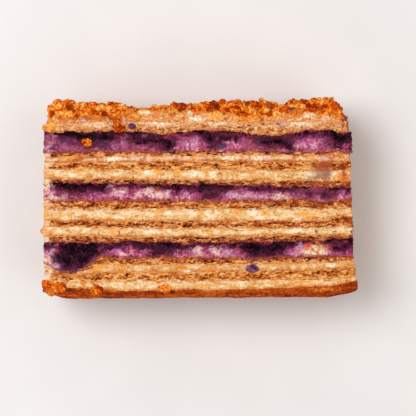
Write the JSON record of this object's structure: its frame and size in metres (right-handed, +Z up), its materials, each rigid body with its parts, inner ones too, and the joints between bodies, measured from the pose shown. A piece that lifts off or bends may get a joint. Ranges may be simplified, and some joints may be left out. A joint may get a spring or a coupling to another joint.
{
  "type": "slice of honey cake",
  "caption": "Cut slice of layered honey cake lying on its side: thin honey sponges, pale cream and bands of dark berries under a crumb topping.",
  "frame": {"origin": "middle of the box's underside, in the plane of the cut face that the slice rests on", "axes": "+X along the layers, +Y from the bottom crust to the crumb topping, +Z up, out of the cut face that shows"},
  "size_m": [0.1332, 0.085, 0.0462],
  "materials": {
    "crust": "matte, baked dark honey brown",
    "sponge": "matte, porous honey brown sponge",
    "cream": "soft satin, warm pale cream",
    "berry_cream": "moist, pink and lilac berry-stained cream",
    "berries": "wet, purple-black cooked berries",
    "crumb": "matte, craggy orange-brown crumbs"
  },
  "bodies": {
    "root": {"berries_lower": "berries", "berries_middle": "berries", "berries_upper": "berries", "berry_bit_on_cream": "berries", "berry_bit_on_sponge": "berries", "berry_cream_lower": "berry_cream", "berry_cream_middle": "berry_cream", "berry_cream_upper": "berry_cream", "bottom_crust": "crust", "cream_01": "cream", "cream_02": "cream", "cream_03": "cream", "cream_04": "cream", "cream_05": "cream", "cream_06": "cream", "cream_07": "cream", "crumb_topping": "crumb", "sponge_01": "sponge", "sponge_02": "sponge", "sponge_03": "sponge", "sponge_04": "sponge", "sponge_05": "sponge", "sponge_06": "sponge", "sponge_07": "sponge", "sponge_08": "sponge", "sponge_09": "sponge"}
  },
  "joints": []
}
